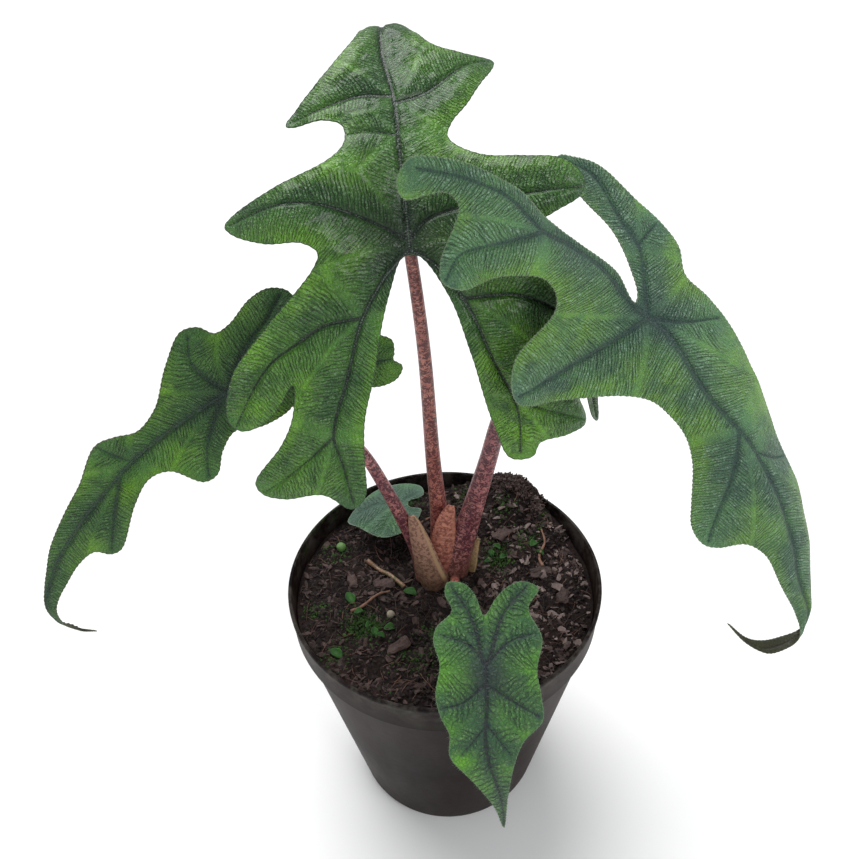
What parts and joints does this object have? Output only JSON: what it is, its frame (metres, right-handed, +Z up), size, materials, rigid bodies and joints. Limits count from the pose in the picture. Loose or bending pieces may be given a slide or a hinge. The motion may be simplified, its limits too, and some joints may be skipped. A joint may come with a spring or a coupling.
{
  "type": "potted alocasia",
  "caption": "Young alocasia with antler-lobed quilted leaves on speckled petioles, in a round brown-black nursery pot filled with potting mix.",
  "frame": {"origin": "centre of the pot's floor, on its underside", "axes": "+Z up along the pot's axis, -Y towards the side the low small leaf hangs over, +X towards the largest outer leaf"},
  "size_m": [0.3226, 0.2259, 0.3628],
  "materials": {
    "pot_plastic": "satin brown-black, dusty rim",
    "potting_mix": "matt, moist and fibrous",
    "stem_skin": "matt brown-green",
    "petiole_red": "satin salmon red with dark speckles",
    "petiole_purple": "satin maroon with dark bands and speckles",
    "blade_gloss": "glossy quilted green with dark grey-green veins",
    "blade_matt": "satin hairy green with dark grey-green veins",
    "blade_young": "matt grey-green",
    "sheath_brown": "matt brown-green with a pale ridge",
    "sheath_pink": "satin pink-orange, wrinkled",
    "sheath_dry": "dry and papery",
    "moss_green": "matt, tufted",
    "sprout_green": "satin bright green",
    "bark_brown": "matt, rough",
    "twig_tan": "matt, dry",
    "pellet_green": "smooth pale green",
    "granule_beige": "matt beige"
  },
  "bodies": {
    "root": {"pot": "pot_plastic", "soil": "potting_mix", "stem_base": "stem_skin", "blade_centre": "blade_gloss", "blade_right": "blade_matt", "blade_left": "blade_matt", "blade_front": "blade_matt", "blade_back": "blade_young", "petiole_centre": "petiole_red", "petiole_right": "petiole_purple", "petiole_left": "petiole_purple", "petiole_front": "petiole_red", "petiole_back": "petiole_red", "sheath_old": "sheath_brown", "sheath_red": "sheath_pink", "sheath_flap": "sheath_dry", "fallen_stem": "sheath_pink", "moss_left": "moss_green", "moss_back": "moss_green", "moss_right": "moss_green", "bark_chip_1": "bark_brown", "bark_chip_2": "bark_brown", "bark_chip_3": "bark_brown", "bark_chip_4": "bark_brown", "bark_chip_5": "bark_brown", "bark_chip_6": "bark_brown", "bark_chip_7": "bark_brown", "bark_chip_8": "bark_brown", "twig_1": "twig_tan", "twig_2": "twig_tan", "twig_3": "twig_tan", "twig_4": "twig_tan", "sprout_1": "sprout_green", "sprout_2": "sprout_green", "sprout_3": "sprout_green", "sprout_4": "sprout_green", "sprout_5": "sprout_green", "pellet_green": "pellet_green", "granule_beige": "granule_beige"}
  },
  "joints": []
}
